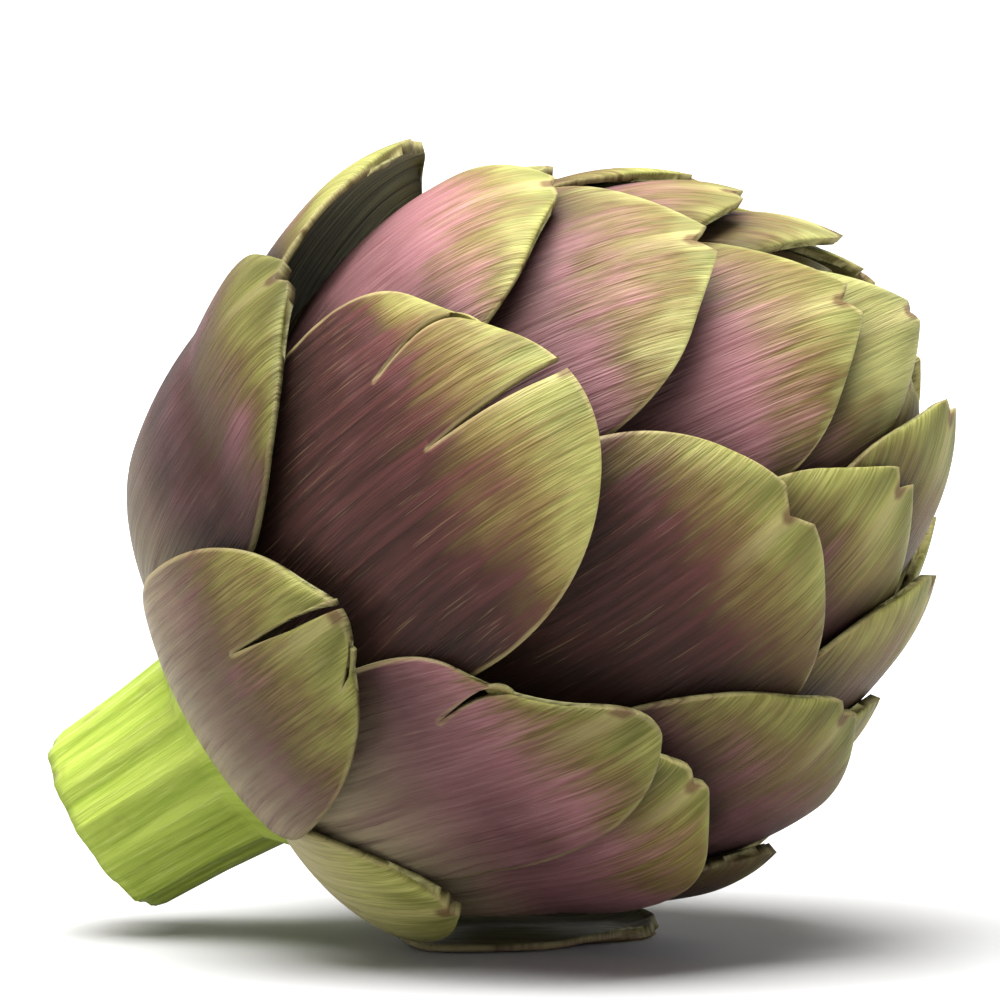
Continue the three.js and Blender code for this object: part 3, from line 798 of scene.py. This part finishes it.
def edge_colour(tree, leaf, body):
    """A straw margin, brown and dry in places and at the notch, and the inner face."""
    frayed = compute(tree, "ADD", leaf["edge"], swing(tree, leaf["patches"], 0.9))
    margin = mix(tree, between(tree, leaf["coarse"], 0.5, 0.72), STRAW, DRY_BROWN)
    body = mix(tree, times(tree, between(tree, frayed, 0.65, 0.2), 0.5), body, margin)
    point = times(tree, between(tree, leaf["off_middle"], 1.3, 0.5), between(tree, leaf["down"], 2.2, 1.0))
    body = mix(tree, times(tree, point, 0.8), body, DRY_BROWN)
    inner = mix(tree, between(tree, leaf["coarse"], 0.35, 0.7), INNER_PALE, INNER_OLIVE)
    return mix(tree, times(tree, leaf["inside"], 0.85), body, inner)


def bract_material():
    material, tree, shader = new_material("bract_skin")
    leaf = leaf_inputs(tree)
    body = leaf_colour(tree, leaf)
    body = painted_shade_and_root_colour(tree, leaf, body)
    body = edge_colour(tree, leaf, body)
    # Partly the leaf's own tone and partly painted shade: lower and side leaves are mixed whole towards
    # near-black
    feed(tree, shader.inputs["Base Color"], mix(tree, leaf["tone_and_shade"], SHADE, body))
    feed(tree, shader.inputs["Roughness"], compute(tree, "MULTIPLY_ADD", leaf["fine"], 0.2, 0.4))
    height = compute(tree, "ADD", times(tree, leaf["coarse"], 0.8), times(tree, leaf["fine"], 0.3))
    bumped(tree, shader, compute(tree, "ADD", height, leaf["patches"]), 0.55, 0.0012)
    shader.inputs["Specular IOR Level"].default_value = SKIN_SHEEN
    return material


def stalk_material():
    material, tree, shader = new_material("stalk_rind")
    around, along = attribute(tree, "around"), attribute(tree, "along")
    coarse = fibres(tree, around, along, 4.0, 0.5, 0.03)
    fine = fibres(tree, around, along, 9.0, 2.4, 0.1)
    patches = noise(tree, vector_of(tree, around, along, 2.0), 0.16, 3.0, 0.55)
    rind = mix(tree, between(tree, coarse, 0.32, 0.68), STALK_GREEN, STALK_LIGHT)
    rind = mix(tree, times(tree, between(tree, fine, 0.5, 0.72), 0.5), rind, STALK_PALE)
    rind = mix(tree, times(tree, between(tree, patches, 0.58, 0.75), 0.4), rind, OLIVE_BROWN)
    ring = between(tree, attribute(tree, "from_middle"), 6.5, 8.0)
    pith = noise(tree, vector_of(tree, around, attribute(tree, "from_middle"), 1.0), 1.6, 5.0, 0.7)
    flesh = mix(tree, between(tree, pith, 0.35, 0.7), CUT_PALE, CUT_TAN)
    flesh = mix(tree, times(tree, ring, 0.55), flesh, STALK_GREEN)
    body = mix(tree, attribute(tree, "cut"), rind, flesh)
    feed(tree, shader.inputs["Base Color"], body)
    feed(tree, shader.inputs["Roughness"], compute(tree, "MULTIPLY_ADD", fine, 0.2, 0.38))
    height = compute(tree, "ADD", times(tree, coarse, 0.7), times(tree, fine, 0.45))
    height = compute(tree, "ADD", height, times(tree, pith, attribute(tree, "cut")))
    bumped(tree, shader, height, 0.5, 0.0009)
    shader.inputs["Specular IOR Level"].default_value = SKIN_SHEEN
    return material


def floor_material():
    material, tree, shader = new_material("pale_floor")
    spot = tree.nodes.new("ShaderNodeTexCoord").outputs["Object"]
    distance = tree.nodes.new("ShaderNodeVectorMath")
    distance.operation = "LENGTH"
    feed(tree, distance.inputs[0], spot)
    pale = mix(tree, between(tree, distance.outputs["Value"], 0.08, 0.5), FLOOR_GREY, FLOOR_WHITE)
    body = mix(tree, times(tree, noise(tree, spot, 60.0, 3.0, 0.5), 0.04), pale, FLOOR_WHITE)
    feed(tree, shader.inputs["Base Color"], body)
    shader.inputs["Roughness"].default_value = 0.9
    shader.inputs["Specular IOR Level"].default_value = 0.1
    return material


# Floor, light and camera


def light_up(name, place_at, size, watts):
    lamp = bpy.data.lights.new(name, "AREA")
    lamp.shape = "RECTANGLE"
    lamp.size, lamp.size_y = size
    lamp.energy = watts
    piece = bpy.data.objects.new(name, lamp)
    piece.location = place_at
    piece.rotation_euler = (Vector(place_at) - HEAD_MIDDLE).to_track_quat("Z", "Y").to_euler()
    bpy.context.scene.collection.objects.link(piece)


def set_stage():
    bpy.ops.mesh.primitive_circle_add(vertices=96, radius=FLOOR_RADIUS, fill_type="NGON")
    floor = bpy.context.object
    floor.name = "floor"
    floor.data.materials.append(floor_material())
    bpy.ops.mesh.primitive_cylinder_add(vertices=96, radius=BACKDROP_RADIUS, depth=BACKDROP_HEIGHT,
                                        end_fill_type="NOTHING")
    backdrop = bpy.context.object
    backdrop.name = "backdrop"
    material, _, shader = new_material("white_backdrop")
    shader.inputs["Base Color"].default_value = FLOOR_WHITE
    shader.inputs["Emission Color"].default_value = WHITE
    shader.inputs["Emission Strength"].default_value = 1.0
    material.cycles.emission_sampling = "NONE"
    backdrop.data.materials.append(material)
    world = bpy.data.worlds.new("soft_room")
    world.use_nodes = True
    world.node_tree.nodes["Background"].inputs["Color"].default_value = WHITE
    world.node_tree.nodes["Background"].inputs["Strength"].default_value = WORLD_STRENGTH
    bpy.context.scene.world = world
    for name, place_at, size, watts in LAMPS:
        light_up(name, place_at, size, watts)
    bpy.context.scene.view_settings.view_transform = "Standard"


def camera_side():
    """Direction from the head to the camera."""
    round_, up = math.radians(CAMERA_AZIMUTH), math.radians(CAMERA_ELEVATION)
    return Vector((math.sin(round_) * math.cos(up), -math.cos(round_) * math.cos(up), math.sin(up)))


def set_camera():
    lens = bpy.data.cameras.new("camera")
    lens.lens = CAMERA_LENS
    lens.sensor_width = 36.0
    lens.shift_x, lens.shift_y = CAMERA_SHIFT
    lens.clip_start, lens.clip_end = 0.01, 20.0
    camera = bpy.data.objects.new("camera", lens)
    camera.location = HEAD_MIDDLE + camera_side() * CAMERA_DISTANCE
    camera.rotation_euler = camera_side().to_track_quat("Z", "Y").to_euler()
    bpy.context.scene.collection.objects.link(camera)
    bpy.context.scene.camera = camera


def dress(piece, node, material):
    piece.data.materials.append(material)
    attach(piece, "root")
    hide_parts(node)


set_camera()
set_stage()
skin = bract_material()
laid = []
for blade in BRACTS:
    lay_down(blade, laid)
    dress(blade_piece(blade, laid), "bract_" + blade["name"], skin)
    laid.append(blade)
dress(bud_piece(laid), "bud", skin)
dress(stalk_piece(), "stalk", stalk_material())

bpy.context.view_layer.update()
